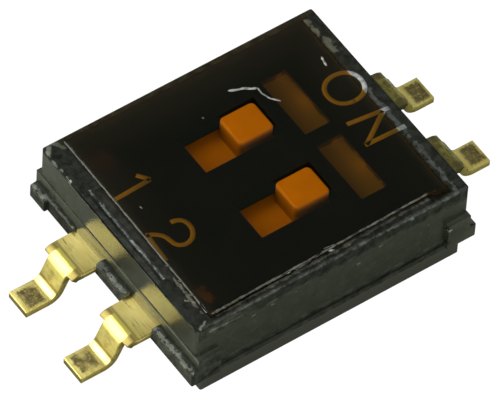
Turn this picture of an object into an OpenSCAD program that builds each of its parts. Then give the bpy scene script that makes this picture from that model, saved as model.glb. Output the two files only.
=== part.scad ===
// Two-position slide DIP switch, half pitch, surface mount, sealed with a film over the top.
// +X runs along the row from position 1 to position 2, +Y is the way a slider moves to ON, +Z is up.
// The origin is on the board under the centre of the body, so the feet of the terminals rest at z = 0.

/* [Row] */
// distance between the two positions, centre to centre
pole_pitch = 1.27; // [1.22:0.01:1.4]
// gap between the board and the underside of the base
stand_off = 0.04; // [0.02:0.01:0.12]

/* [Cover] */
// cover across the row
cover_w = 3.59; // [3.56:0.01:3.66]
// cover in the slide direction
cover_l = 4.32; // [4.26:0.01:4.36]
// height of the cover's flat top above the board
cover_top = 1.36; // [1.34:0.01:1.45]
// radius of the cover's upright corners
cover_corner_r = 0.06; // [0.04:0.01:0.12]
// chamfer along the cover's top edges
cover_chamfer = 0.025; // [0.01:0.005:0.04]
// thickness of the cover's top wall
roof_t = 0.325; // [0.3:0.005:0.34]
// width of the long strip that is sunk along the front edge of the top
relief_w = 1.69; // [1.2:0.01:2.4]
// distance from that strip's inner edge to the front face
relief_l = 0.157; // [0.1:0.001:0.2]
// depth of that strip
relief_t = 0.022; // [0.01:0.002:0.05]

/* [Slots] */
// slot width, across the row
slot_w = 0.705; // [0.66:0.005:0.8]
// room left beyond the knob at each end of its slot
slot_end_gap = 0.04; // [0.02:0.005:0.06]
// how far the slots sit from the middle of the cover towards ON
slot_y = 0.035; // [0:0.005:0.05]
// width of the sunk window beyond each slot
window_w = 1.03; // [0.8:0.01:1.1]
// length of that window
window_l = 0.4; // [0.2:0.01:0.45]
// distance from the middle of the cover to the window's middle
window_y = 1.06; // [1.0:0.01:1.15]
// how far the window sits off the middle of its position
window_x = 0.03; // [0:0.01:0.05]
// depth of the window
window_t = 0.06; // [0.03:0.01:0.2]

/* [Base] */
// lower block of the base, across the row
base_w = 3.59; // [3.56:0.01:3.66]
// lower block of the base, in the slide direction
base_l = 4.13; // [4.06:0.01:4.2]
// base across its four corner ears
ear_w = 3.73; // [3.7:0.01:3.8]
// length of each ear along the side of the body
ear_l = 0.355; // [0.2:0.005:0.4]
// distance between the two upright end walls, outside to outside
end_wall_l = 4.33; // [4.3:0.01:4.36]
// height of the end walls above the board, where the cover lands
seam_z = 0.82; // [0.78:0.01:0.86]
// distance between the outer faces of the two terminal ledges
ledge_l = 4.54; // [4.48:0.01:4.6]
// height of the top of the ledges
ledge_top = 0.585; // [0.57:0.005:0.62]
// height of the underside of the ledges
ledge_under = 0.343; // [0.33:0.001:0.36]
// width of the shallow index notch in the front ledge
index_w = 0.58; // [0.4:0.01:0.6]
// depth of the index notch
index_t = 0.065; // [0.03:0.005:0.08]
// chamfer along the ledges' outer edges
ledge_chamfer = 0.02; // [0.01:0.005:0.04]
// radius of the base's upright corners
base_corner_r = 0.03; // [0.02:0.01:0.08]

/* [Terminals] */
// distance from foot tip to foot tip
lead_span = 6.56; // [6.4:0.01:6.7]
// thickness of the terminal strip
lead_t = 0.11; // [0.1:0.005:0.13]
// width of a foot
foot_w = 0.41; // [0.36:0.01:0.46]
// width of the shoulder next to the body
shoulder_w = 0.64; // [0.56:0.01:0.7]
// height of the top of the shoulder
shoulder_top = 0.51; // [0.5:0.01:0.54]
// distance from the middle to the corner between shoulder and leg of a front terminal
knee_y = 2.609; // [2.59:0.001:2.62]
// how much further out the rear terminals bend than the front ones
rear_reach = 0.1; // [0:0.01:0.12]
// slope of the leg
leg_angle = 65; // [62:1:68]
// radius of the upper bend at the middle of the strip
knee_r = 0.15; // [0.12:0.01:0.18]
// radius of the lower bend at the middle of the strip
heel_r = 0.19; // [0.15:0.01:0.22]
// how far round the upper bend the wide shoulder reaches
shoulder_turn = 43; // [35:1:50]

/* [Sliders] */
// travel between OFF and ON
travel = 0.6; // [0.5:0.01:0.62]
// knob width
knob_w = 0.52; // [0.4:0.01:0.54]
// knob length
knob_l = 0.56; // [0.5:0.01:0.58]
// how far the knob sits off the middle of its position
knob_x = -0.045; // [-0.05:0.005:0.05]
// gap between the knob's top and the film
knob_gap = 0.015; // [0.01:0.005:0.05]
// chamfer round the knob's top
knob_chamfer = 0.02; // [0.01:0.005:0.04]
// width of the plate under the cover
plate_w = 1.0; // [0.9:0.01:1.04]
// length of that plate
plate_l = 2.04; // [1.96:0.01:2.1]
// thickness of that plate
plate_t = 0.32; // [0.28:0.01:0.33]

/* [Contacts] */
// thickness of the bridging spring
spring_t = 0.05; // [0.03:0.005:0.06]
// width of the bridging spring
spring_w = 0.4; // [0.3:0.01:0.56]
// distance between the two touching feet of the spring
spring_span = 1.24; // [1.2:0.02:1.28]
// inner end of the front terminal's pad
front_pad_y = 0.1; // [0.05:0.01:0.15]
// inner end of the rear terminal's pad
rear_pad_y = 0.55; // [0.52:0.01:0.6]

/* [Film] */
// film across the row
film_w = 3.34; // [3.2:0.01:3.5]
// film in the slide direction
film_l = 3.78; // [3.6:0.01:4.0]
// film thickness
film_t = 0.045; // [0.03:0.005:0.06]
// how far the film was laid askew
film_turn = -0.56; // [-1:0.01:1]

/* [Hidden] */

// smoothness of round shapes
$fn = 48;
// small overlap that keeps cuts clean
cut = 0.2;
// clearance between the cover and the base's inner wall
fit_gap = 0.01;
// thickness of the cover's side walls and end walls
side_t = 0.185;
end_t = 0.145;
// the wall that the cover slips over
inner_wall_w = cover_w - 2 * side_t;
inner_wall_l = cover_l - 2 * end_t;
inner_wall_top = cover_top - roof_t - fit_gap;
// middle of a slider in the ON position
on_y = slot_y + travel / 2;
// room for the sliders inside the inner wall
side_gap = 0.085;
end_gap = 0.095;
cavity_w = pole_pitch + plate_w + 2 * side_gap;
cavity_l = 2 * on_y + plate_l + 2 * end_gap;
slot_l = knob_l + travel + 2 * slot_end_gap;
// floor that the terminal pads lie flush in
floor_z = shoulder_top;
// rib between the two positions
rib_w = 0.12;
rib_h = 0.44;
// gap between a plate and the cover's roof, and between the springs' feet and the floor
plate_gap = 0.02;
foot_gap = 0.01;
// heights of the slider
plate_top = cover_top - roof_t - plate_gap;
plate_under = plate_top - plate_t;
knob_top = cover_top - knob_gap;
// stud that holds the spring under the plate
stud_r = 0.07;
stud_h = 0.09;
stud_gap = 0.01;
// spring heights and the run of its flat middle
spring_top = plate_under - foot_gap;
spring_flat = 0.22;
spring_half = spring_span / 2;
toe_run = 0.09;
toe_rise = 0.05;
// film placement
film_x = -0.006;
film_y = 0.0115;
// leg geometry, along the middle of the strip
mid_foot = lead_t / 2;
mid_shoulder = shoulder_top - lead_t / 2;
leg_run = (mid_shoulder - mid_foot) / tan(leg_angle);
knee_tan = knee_r * tan(leg_angle / 2);
heel_tan = heel_r * tan(leg_angle / 2);
// shift of the corners of the strip's two faces where it bends
mitre = lead_t / 2 * tan(leg_angle / 2);
// lets each round bend cross its flats cleanly
arc_lap = 0.0001;
span_half = lead_span / 2;

function pole_x(n) = (n - 1.5) * pole_pitch;

// plain block given by its limits
module block(x0, x1, y0, y1, z0, z1) {
  translate([x0, y0, z0])
    cube([x1 - x0, y1 - y0, z1 - z0]);
}

// outline with round corners
module round_outline(w, l, r) {
  square([w - 2 * r, l], center = true);
  square([w, l - 2 * r], center = true);
  for (sx = [-1, 1], sy = [-1, 1])
    translate([sx * (w / 2 - r), sy * (l / 2 - r)])
      circle(r);
}

// outline whose two top corners are chamfered, standing from z0 to z1
module chamfer_outline(w, z0, z1, c) {
  polygon([
    [-w / 2, z0],
    [w / 2, z0],
    [w / 2, z1 - c],
    [w / 2 - c, z1],
    [-w / 2 + c, z1],
    [-w / 2, z1 - c]
  ]);
}

// upright block with round corners and chamfered top edges
module soft_block(w, l, z0, z1, r, c) {
  intersection() {
    translate([0, 0, z0])
      linear_extrude(z1 - z0)
        round_outline(w, l, r);
    rotate([90, 0, 0])
      linear_extrude(l + cut, center = true)
        chamfer_outline(w, z0, z1, c);
    rotate([90, 0, 90])
      linear_extrude(w + cut, center = true)
        chamfer_outline(l, z0, z1, c);
  }
}

// four-sided area that fills a bend seen from the side, from its centre out to the given reach
module bend_area(reach, a0, a1) {
  mid = (a0 + a1) / 2;
  far = reach / cos((a1 - a0) / 2);
  polygon([
    [0, 0],
    [reach * cos(a0), reach * sin(a0)],
    [far * cos(mid), far * sin(mid)],
    [reach * cos(a1), reach * sin(a1)]
  ]);
}

// material that fills the inner side of a bend
module bend_fill(r, a0, a1) {
  difference() {
    bend_area(r, a0, a1);
    circle(r - lead_t / 2 + arc_lap);
  }
}

// material taken off the outer side of a bend
module bend_cut(r, a0, a1) {
  difference() {
    bend_area(r + lead_t, a0, a1);
    circle(r + lead_t / 2 + arc_lap);
  }
}

// side view of a terminal that bends down at corner_y, with y along +x and height along +y
module lead_profile(pad_y, corner_y) {
  heel_y = corner_y + leg_run;
  knee_at = [corner_y - knee_tan, mid_shoulder - knee_r];
  heel_at = [heel_y + heel_tan, mid_foot + heel_r];
  difference() {
    union() {
      polygon([
        [pad_y, shoulder_top - lead_t],
        [corner_y - mitre, shoulder_top - lead_t],
        [heel_y - mitre, 0],
        [span_half, 0],
        [span_half, lead_t],
        [heel_y + mitre, lead_t],
        [corner_y + mitre, shoulder_top],
        [pad_y, shoulder_top]
      ]);
      translate(knee_at)
        bend_fill(knee_r, 90 - leg_angle, 90);
      translate(heel_at)
        bend_fill(heel_r, 270 - leg_angle, 270);
    }
    translate(knee_at)
      bend_cut(knee_r, 90 - leg_angle, 90);
    translate(heel_at)
      bend_cut(heel_r, 270 - leg_angle, 270);
  }
}

// the part of the side view in which the strip is wide
module shoulder_zone(corner_y) {
  turn_y = corner_y - knee_tan;
  turn_z = mid_shoulder - knee_r;
  far = 4;
  polygon([
    [turn_y, turn_z],
    [turn_y + far * sin(shoulder_turn), turn_z + far * cos(shoulder_turn)],
    [0, far],
    [0, turn_z]
  ]);
}

// one terminal on the +y side, on x = 0
module lead(pad_y, corner_y) {
  rotate([90, 0, 90]) {
    linear_extrude(foot_w, center = true)
      lead_profile(pad_y, corner_y);
    linear_extrude(shoulder_w, center = true)
      intersection() {
        lead_profile(pad_y, corner_y);
        shoulder_zone(corner_y);
      }
  }
}

// the room a terminal takes up in the base: a bed in the floor and an open notch in the ledge
module lead_bed(pad_y) {
  block(-shoulder_w / 2, shoulder_w / 2, pad_y, ledge_l / 2 + cut, shoulder_top - lead_t, shoulder_top);
  block(-shoulder_w / 2, shoulder_w / 2, end_wall_l / 2, ledge_l / 2 + cut, shoulder_top - lead_t, ledge_top + cut);
}

// ledge along one end of the base, from y_in out to its chamfered face
module ledge(y_in) {
  y_out = ledge_l / 2;
  rotate([90, 0, 90])
    linear_extrude(ear_w, center = true)
      polygon([
        [y_in, ledge_under],
        [y_out - ledge_chamfer, ledge_under],
        [y_out, ledge_under + ledge_chamfer],
        [y_out, ledge_top - ledge_chamfer],
        [y_out - ledge_chamfer, ledge_top],
        [y_in, ledge_top]
      ]);
}

module base() {
  color([0.11, 0.11, 0.11])
    difference() {
      union() {
        soft_block(base_w, base_l, stand_off, ledge_under + fit_gap, base_corner_r, 0.001);
        translate([0, 0, ledge_under])
          linear_extrude(inner_wall_top - ledge_under)
            square([inner_wall_w, inner_wall_l], center = true);
        for (s = [0, 1])
          mirror([0, s, 0]) {
            ear_in = end_wall_l / 2 - ear_l;
            block(-ear_w / 2, ear_w / 2, ear_in, end_wall_l / 2, ledge_under, seam_z);
            ledge(ear_in);
          }
      }
      // room for the two sliders, with the rib left between them
      for (s = [0, 1])
        mirror([s, 0, 0])
          block(rib_w / 2, cavity_w / 2, -cavity_l / 2, cavity_l / 2, floor_z, cover_top);
      block(-rib_w, rib_w, -cavity_l / 2, cavity_l / 2, floor_z + rib_h, cover_top);
      // beds of the terminals
      for (n = [1, 2])
        translate([pole_x(n), 0, 0]) {
          lead_bed(rear_pad_y);
          mirror([0, 1, 0])
            lead_bed(front_pad_y);
        }
      // index notch beside terminal 1
      block(
        pole_x(1) - shoulder_w / 2 - index_w, pole_x(1) - shoulder_w / 2,
        -ledge_l / 2 - cut, -ledge_l / 2 + index_t,
        stand_off, ledge_top + cut
      );
    }
}

module cover() {
  skirt_l = end_wall_l - 2 * ear_l - 2 * fit_gap;
  color([0.13, 0.13, 0.13])
    difference() {
      union() {
        soft_block(cover_w, cover_l, seam_z, cover_top, cover_corner_r, cover_chamfer);
        block(
          -cover_w / 2, cover_w / 2, -skirt_l / 2, skirt_l / 2,
          ledge_under + 2 * fit_gap, seam_z + cut
        );
      }
      // hollow that slips over the base
      block(
        -inner_wall_w / 2 - fit_gap, inner_wall_w / 2 + fit_gap,
        -inner_wall_l / 2 - fit_gap, inner_wall_l / 2 + fit_gap,
        0, cover_top - roof_t
      );
      for (n = [1, 2]) {
        translate([pole_x(n), slot_y, cover_top - roof_t / 2])
          cube([slot_w, slot_l, roof_t + cut], center = true);
        translate([pole_x(n) + window_x, window_y, cover_top])
          cube([window_w, window_l, 2 * window_t], center = true);
      }
      // sunk strip along the front edge
      translate([0, -cover_l / 2, cover_top])
        cube([relief_w, 2 * relief_l, 2 * relief_t], center = true);
    }
}

module seal_film() {
  color([0.32, 0.17, 0.04])
    translate([film_x, film_y, cover_top])
      rotate([0, 0, film_turn])
        linear_extrude(film_t)
          square([film_w, film_l], center = true);
}

module terminal_front(n) {
  color([0.83, 0.68, 0.32])
    translate([pole_x(n), 0, 0])
      mirror([0, 1, 0])
        lead(front_pad_y, knee_y);
}

module terminal_rear(n) {
  color([0.83, 0.68, 0.32])
    translate([pole_x(n), 0, 0])
      lead(rear_pad_y, knee_y + rear_reach);
}

module slider(n) {
  color([0.93, 0.93, 0.9])
    translate([pole_x(n), on_y, 0]) {
      translate([0, 0, plate_under + plate_t / 2])
        cube([plate_w, plate_l, plate_t], center = true);
      translate([knob_x, 0, 0])
        soft_block(knob_w, knob_l, plate_top - plate_gap, knob_top, knob_chamfer, knob_chamfer);
      translate([0, 0, plate_under - stud_h])
        cylinder(r = stud_r, h = stud_h + plate_gap);
    }
}

// side view of the bridging spring: a flat middle, two sloping arms and two turned-up toes
module spring_profile() {
  low = floor_z + foot_gap;
  right = [
    [spring_flat, spring_top],
    [spring_half, low + spring_t],
    [spring_half + toe_run, low + toe_rise + spring_t]
  ];
  under = [
    [spring_half + toe_run, low + toe_rise],
    [spring_half, low],
    [spring_flat, spring_top - spring_t]
  ];
  polygon(concat(
    [for (p = right) p],
    [for (p = under) p],
    [for (i = [2:-1:0]) [-under[i][0], under[i][1]]],
    [for (i = [2:-1:0]) [-right[i][0], right[i][1]]]
  ));
}

module contact(n) {
  color([0.85, 0.7, 0.34])
    translate([pole_x(n), on_y, 0])
      difference() {
        rotate([90, 0, 90])
          linear_extrude(spring_w, center = true)
            spring_profile();
        translate([0, 0, floor_z])
          cylinder(r = stud_r + stud_gap, h = plate_under - floor_z + plate_gap);
      }
}

base();
cover();
seal_film();
terminal_front(1);  // terminal_front_1
terminal_front(2);  // terminal_front_2
terminal_rear(1);  // terminal_rear_1
terminal_rear(2);  // terminal_rear_2
slider(1);  // slider_1
slider(2);  // slider_2
contact(1);  // contact_1
contact(2);  // contact_2
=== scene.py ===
import math

import bmesh
import bpy
from mathutils import Matrix, Vector, noise


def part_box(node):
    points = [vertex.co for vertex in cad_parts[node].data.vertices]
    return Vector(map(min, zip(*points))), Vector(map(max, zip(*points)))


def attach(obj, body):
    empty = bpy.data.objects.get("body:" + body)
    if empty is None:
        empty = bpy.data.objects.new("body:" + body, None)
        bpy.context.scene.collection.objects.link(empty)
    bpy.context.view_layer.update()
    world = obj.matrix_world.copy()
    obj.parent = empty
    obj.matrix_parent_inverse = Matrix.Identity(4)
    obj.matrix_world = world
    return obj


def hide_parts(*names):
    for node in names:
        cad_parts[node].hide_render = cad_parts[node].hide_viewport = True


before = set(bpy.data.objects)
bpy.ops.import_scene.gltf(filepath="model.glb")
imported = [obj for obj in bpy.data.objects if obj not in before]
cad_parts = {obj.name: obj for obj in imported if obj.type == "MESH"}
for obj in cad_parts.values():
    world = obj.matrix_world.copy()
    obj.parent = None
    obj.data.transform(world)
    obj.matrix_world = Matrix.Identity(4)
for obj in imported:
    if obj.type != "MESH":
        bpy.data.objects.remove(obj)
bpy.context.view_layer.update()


# ---------------------------------------------------------------- measures, in millimetres

MM, TO_MM = 0.001, 1000.0
UP = Vector((0, 0, 1))


def box_of(node):
    """The low and the high corner of a CAD node's box, in millimetres."""
    return [corner * TO_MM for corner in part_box(node)]


cover_box, base_box, film_box = box_of("cover"), box_of("base"), box_of("seal_film")
TOP, SIDE, FILM_TOP = cover_box[1].z, cover_box[1].x, film_box[1].z
# marks of the front wall lie a hair outside it
FRONT = -2.165
HALF_PITCH = 0.635
POLES = {"1": -HALF_PITCH, "2": HALF_PITCH}
# the slots: how far they sit towards ON, and half their width and length
SLOT_Y, SLOT_HALF = 0.035, (0.3525, 0.62)
# height of a slider's plate, which its knob stands on
PLATE_TOP = 1.015
# the film: its size and turn, its left, front and rear edges, and the room for the print under it
FILM_W, FILM_L, FILM_TURN = 3.34, 3.78, math.radians(-0.56)
FILM_LEFT, FILM_FRONT, FILM_REAR = -1.67, -1.87, 1.91
FILM_LIFT = 0.007
film_middle = (film_box[0] + film_box[1]) / 2


# ---------------------------------------------------------------- shader groups

class Nodes:
    """Short calls that add nodes to a tree and link them."""

    # where a Mix node keeps its sockets for colours
    MIX_SHARE, MIX_A, MIX_B, MIX_RESULT = 0, 6, 7, 2

    def __init__(self, tree):
        self.tree = tree

    def add(self, kind, **settings):
        node = self.tree.nodes.new(kind)
        for key, value in settings.items():
            setattr(node, key, value)
        return node

    def link(self, source, target):
        """Links a socket to another, or sets the other to a plain value."""
        if hasattr(source, "is_output"):
            self.tree.links.new(source, target)
        else:
            target.default_value = source

    def math(self, operation, a, b=0.0, clamp=False):
        node = self.add("ShaderNodeMath", operation=operation, use_clamp=clamp)
        for socket, value in zip(node.inputs, (a, b)):
            self.link(value, socket)
        return node.outputs[0]

    def join(self, operation, *values):
        """Takes several values together, one after the other, by the same operation."""
        result = values[0]
        for value in values[1:]:
            result = self.math(operation, result, value)
        return result

    def times(self, *values):
        return self.join("MULTIPLY", *values)

    def vector(self, operation, *values, out="Vector"):
        node = self.add("ShaderNodeVectorMath", operation=operation)
        for socket, value in zip(node.inputs, values):
            self.link(value, socket)
        return node.outputs[out]

    def scaled(self, vector, by):
        node = self.add("ShaderNodeVectorMath", operation="SCALE")
        self.link(vector, node.inputs[0])
        self.link(by, node.inputs["Scale"])
        return node.outputs[0]

    def split(self, vector):
        node = self.add("ShaderNodeSeparateXYZ")
        self.link(vector, node.inputs[0])
        return node.outputs[0], node.outputs[1], node.outputs[2]

    def inside_box(self, place, centre, half):
        """How far a place lies inside the faces of a box, along x, y and z."""
        away = self.vector("ABSOLUTE", self.vector("SUBTRACT", place, centre))
        return self.split(self.vector("SUBTRACT", half, away))

    def span(self, value, low, high, out_low=0.0, out_high=1.0, smooth=True):
        """Takes low to out_low and high to out_high, and stays level beyond them."""
        node = self.add("ShaderNodeMapRange", clamp=True)
        node.interpolation_type = "SMOOTHSTEP" if smooth else "LINEAR"
        for label, v in (("Value", value), ("From Min", low), ("From Max", high),
                         ("To Min", out_low), ("To Max", out_high)):
            self.link(v, node.inputs[label])
        return node.outputs["Result"]

    def between(self, value, low, high, soft):
        """1 between low and high, fading to 0 over soft on both sides."""
        return self.times(self.span(value, low - soft, low + soft),
                          self.span(value, high + soft, high - soft))

    def blend(self, share, a, b):
        """The colour a, with b over it by its share."""
        node = self.add("ShaderNodeMix", data_type="RGBA")
        self.link(share, node.inputs[self.MIX_SHARE])
        for index, colour in ((self.MIX_A, a), (self.MIX_B, b)):
            self.link((*colour, 1.0) if isinstance(colour, tuple) else colour, node.inputs[index])
        return node.outputs[self.MIX_RESULT]

    def mix_shaders(self, share, a, b):
        node = self.add("ShaderNodeMixShader")
        for socket, source in zip(node.inputs, (share, a.outputs[0], b.outputs[0])):
            self.link(source, socket)
        return node.outputs[0]

    def noise(self, place, scale, detail, rough, warp=0.0):
        node = self.add("ShaderNodeTexNoise")
        for label, value in (("Vector", place), ("Scale", scale), ("Detail", detail),
                             ("Roughness", rough), ("Distortion", warp)):
            self.link(value, node.inputs[label])
        return node.outputs["Fac"]

    def sway(self, noise, *by):
        """A noise that swings either way from 0, times what is given."""
        return self.times(self.math("SUBTRACT", noise, 0.5), *by)

    def group(self, tree, **values):
        node = self.add("ShaderNodeGroup", node_tree=tree)
        for label, value in values.items():
            self.link(value, node.inputs[label])
        return node.outputs


def new_group(name, inputs, outputs):
    """A shader group; an input is a number with its usual value, or a vector where that is None."""
    tree = bpy.data.node_groups.new(name, "ShaderNodeTree")
    for label, usual in inputs.items():
        kind = "NodeSocketVector" if usual is None else "NodeSocketFloat"
        socket = tree.interface.new_socket(label, in_out="INPUT", socket_type=kind)
        if usual is not None:
            socket.default_value = usual
    for label in outputs:
        tree.interface.new_socket(label, in_out="OUTPUT", socket_type="NodeSocketFloat")
    given = tree.nodes.new("NodeGroupInput").outputs
    made = tree.nodes.new("NodeGroupOutput").inputs
    return tree, Nodes(tree), given, made


def skin_group():
    """Fine uneven skin of a moulding: height for a bump, faint lighter clouds and a few specks."""
    tree, n, given, made = new_group(
        "moulded_skin", {"Place": None, "Fine": 40.0, "Broad": 4.0}, ["Height", "Clouds", "Specks"])
    fine = n.noise(given["Place"], given["Fine"], detail=3.0, rough=0.6)
    broad = n.noise(given["Place"], given["Broad"], detail=5.0, rough=0.68, warp=0.4)
    n.link(n.math("ADD", n.times(fine, 0.6), n.times(broad, 0.25)), made["Height"])
    n.link(n.span(broad, 0.3, 0.7), made["Clouds"])
    spots = n.noise(given["Place"], n.times(given["Fine"], 0.3), detail=3.0, rough=0.6)
    n.link(n.span(spots, 0.62, 0.76), made["Specks"])
    return tree


def rim_group():
    """Mask of the worn strip along the edges of a box, given by its centre and half its size."""
    tree, n, given, made = new_group(
        "rim_wear", {"Place": None, "Centre": None, "Half": None, "Width": 0.03, "Breakup": 6.0}, ["Rim"])
    x, y, z = n.inside_box(given["Place"], given["Centre"], given["Half"])
    # an edge is where two of the three distances to the faces are small: their middle value
    smallest = n.join("MINIMUM", x, y, z)
    largest = n.join("MAXIMUM", x, y, z)
    middle = n.join("SUBTRACT", n.join("ADD", x, y, z), smallest, largest)
    broken = n.noise(given["Place"], given["Breakup"], detail=4.0, rough=0.7)
    reach = n.times(given["Width"], n.span(broken, 0.4, 0.66, 0.15, 1.5))
    n.link(n.span(n.math("DIVIDE", middle, reach), 1.0, 0.0), made["Rim"])
    return tree


def line_group():
    """Mask of a ragged line from one point to another."""
    tree, n, given, made = new_group(
        "line_mark", {"Place": None, "From": None, "To": None, "Width": 0.03, "Breakup": 8.0, "Gaps": 1.0},
        ["Mark"])
    run = n.vector("SUBTRACT", given["To"], given["From"])
    away = n.vector("SUBTRACT", given["Place"], given["From"])
    share = n.math("DIVIDE", n.vector("DOT_PRODUCT", away, run, out="Value"),
                   n.vector("DOT_PRODUCT", run, run, out="Value"), clamp=True)
    gap = n.vector("LENGTH", n.vector("SUBTRACT", away, n.scaled(run, share)), out="Value")
    wobble = n.noise(given["Place"], n.times(given["Breakup"], 0.6), detail=2.0, rough=0.5)
    gap = n.math("ABSOLUTE", n.math("ADD", gap, n.sway(wobble, given["Width"], 1.2)))
    broken = n.noise(given["Place"], given["Breakup"], detail=4.0, rough=0.7)
    # the thinnest it gets: nothing with gaps at 1, and well over half its width with gaps at 0
    least = n.math("SUBTRACT", 0.6, n.times(given["Gaps"], 0.6))
    reach = n.math("ADD", n.times(given["Width"], n.span(broken, 0.36, 0.62, least, 0.85)), 0.0001)
    n.link(n.span(n.math("DIVIDE", gap, reach), 1.0, 0.35), made["Mark"])
    return tree


def patch_group():
    """Mask of a box-shaped patch with soft, uneven borders."""
    tree, n, given, made = new_group(
        "patch_mark", {"Place": None, "Centre": None, "Half": None, "Soft": 0.03}, ["Mark"])
    inside = n.join("MINIMUM", *n.inside_box(given["Place"], given["Centre"], given["Half"]))
    uneven = n.sway(n.noise(given["Place"], 9.0, detail=4.0, rough=0.65), given["Soft"], 2.5)
    n.link(n.span(n.math("DIVIDE", n.math("ADD", inside, uneven), given["Soft"]), -0.5, 0.5), made["Mark"])
    return tree


SKIN = skin_group()
RIM = rim_group()
LINE = line_group()
PATCH = patch_group()


# ---------------------------------------------------------------- materials

NEAR_BLACK = (0.006, 0.006, 0.005)
# the dulled skin hardly shines
DULL_IOR = 1.04
WORN_ROUGH = 0.5
# how dark and how light a moulding's clouds are, as shares of its colour
CLOUD_RANGE = (0.8, 1.3)
# the film tints what is under it, and this share of its look is its own haze
AMBER, HAZE_SHARE = (0.875, 0.625, 0.17, 1.0), 0.05
CLEAR = (0.004, 0.004, 0.002)

# tones of the gold plating
GOLD = {
    "dark": (0.90, 0.74, 0.23), "light": (1.0, 0.86, 0.31), "burnished": (0.97, 0.86, 0.19),
    "drawn": (0.52, 0.41, 0.12), "leg": (0.55, 0.42, 0.13), "painted_shade": (0.34, 0.27, 0.08),
    "heel": (0.28, 0.19, 0.05), "nick": (0.16, 0.11, 0.03), "tip": (0.14, 0.11, 0.03),
    "rear": (0.12, 0.11, 0.045), "stain": (0.09, 0.07, 0.03), "light_stain": (0.19, 0.155, 0.065),
    "dirt": (0.05, 0.035, 0.012),
}
# stretches of a terminal, as distances out from the middle of the part
ROOT, NICKED, BEND_START, BENT = (2.10, 2.15), (2.2, 2.42), (2.465, 2.5), (2.50, 2.92)
LEG, STREAKED, HEEL_LINE = (2.67, 2.79), (2.71, 2.80), (2.785, 2.81)
FRONT_STAIN, REAR_STAIN = (2.94, 3.22), (3.02, 3.25)
# the rear terminals bend this much further out than the front ones
REAR_OUT = 0.1


def new_material(name):
    """A Principled material, its nodes, its shader and the place on the part in millimetres."""
    material = bpy.data.materials.new(name)
    material.use_nodes = True
    material.node_tree.nodes.clear()
    n = Nodes(material.node_tree)
    shader = n.add("ShaderNodeBsdfPrincipled")
    n.link(shader.outputs[0], n.add("ShaderNodeOutputMaterial").inputs["Surface"])
    mm = n.add("ShaderNodeMapping")
    mm.inputs["Scale"].default_value = (TO_MM, TO_MM, TO_MM)
    n.link(n.add("ShaderNodeTexCoord").outputs["Object"], mm.inputs["Vector"])
    return material, n, shader, mm.outputs[0]


def bump(n, shader, height, strength, depth):
    """Lets a height stir the shader's surface, as deep as depth in millimetres."""
    node = n.add("ShaderNodeBump")
    node.inputs["Strength"].default_value = strength
    node.inputs["Distance"].default_value = depth * MM
    n.link(height, node.inputs["Height"])
    n.link(node.outputs[0], shader.inputs["Normal"])


def line(start, end, width, tone, strength, breakup=8.0, gaps=1.0):
    """A ragged line worn into a surface, whole where gaps is 0."""
    values = {"From": start, "To": end, "Width": width, "Breakup": breakup, "Gaps": gaps}
    return LINE, values, tone, strength


def patch(centre, half, soft, tone, strength):
    """A patch of another tone with soft borders."""
    return PATCH, {"Centre": centre, "Half": half, "Soft": soft}, tone, strength


def marked(n, mm, shade, marks):
    """A shade with the lines and patches of a list laid over it."""
    for tree, values, tone, strength in marks:
        shade = n.blend(n.times(n.group(tree, Place=mm, **values)[0], strength), shade, tone)
    return shade


def black_plastic(name, colour, pale, rough, ior, box, rim_width, rim_share, grain, depth, marks):
    """Black moulded plastic: fine skin, faint clouds, worn rims and the marks listed for it."""
    material, n, shader, mm = new_material(name)
    low, high = box
    skin = n.group(SKIN, Place=mm, Fine=grain, Broad=4.5)
    rim = n.group(RIM, Place=mm, Centre=tuple((low + high) / 2), Half=tuple((high - low) / 2),
                  Width=rim_width, Breakup=7.0)[0]
    rim = n.times(rim, rim_share)
    dark, light = (tuple(c * share for c in colour) for share in CLOUD_RANGE)
    shade = n.blend(skin["Clouds"], dark, light)
    shade = n.blend(n.times(skin["Specks"], 0.12), shade, pale)
    shade = n.blend(rim, shade, pale)
    worn = n.math("MAXIMUM", rim, n.times(skin["Clouds"], 0.1))
    for tree, values, tone, strength in marks:
        mark = n.times(n.group(tree, Place=mm, **values)[0], strength)
        shade = n.blend(mark, shade, tone)
        # near-black marks shine as what they lie on
        if tone != NEAR_BLACK:
            worn = n.math("MAXIMUM", worn, mark)
    n.link(shade, shader.inputs["Base Color"])
    n.link(n.span(worn, 0.0, 1.0, rough, WORN_ROUGH), shader.inputs["Roughness"])
    shader.inputs["IOR"].default_value = ior
    bump(n, shader, skin["Height"], 0.5, depth)
    return material


def dull_black(name, shade, uneven, broad, marks):
    """Black plastic with next to no shine: one tone, the marks listed for it, and clouds over all of it."""
    material, n, shader, mm = new_material(name)
    skin = n.group(SKIN, Place=mm, Fine=24.0, Broad=broad)
    clouds = n.span(skin["Clouds"], 0.0, 1.0, 1.0 - uneven, 1.0 + uneven, smooth=False)
    n.link(n.scaled(marked(n, mm, shade, marks), clouds), shader.inputs["Base Color"])
    n.link(n.span(skin["Height"], 0.2, 0.8, 0.6, 0.8), shader.inputs["Roughness"])
    shader.inputs["IOR"].default_value = DULL_IOR
    bump(n, shader, skin["Height"], 0.4, 0.008)
    return material


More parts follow.
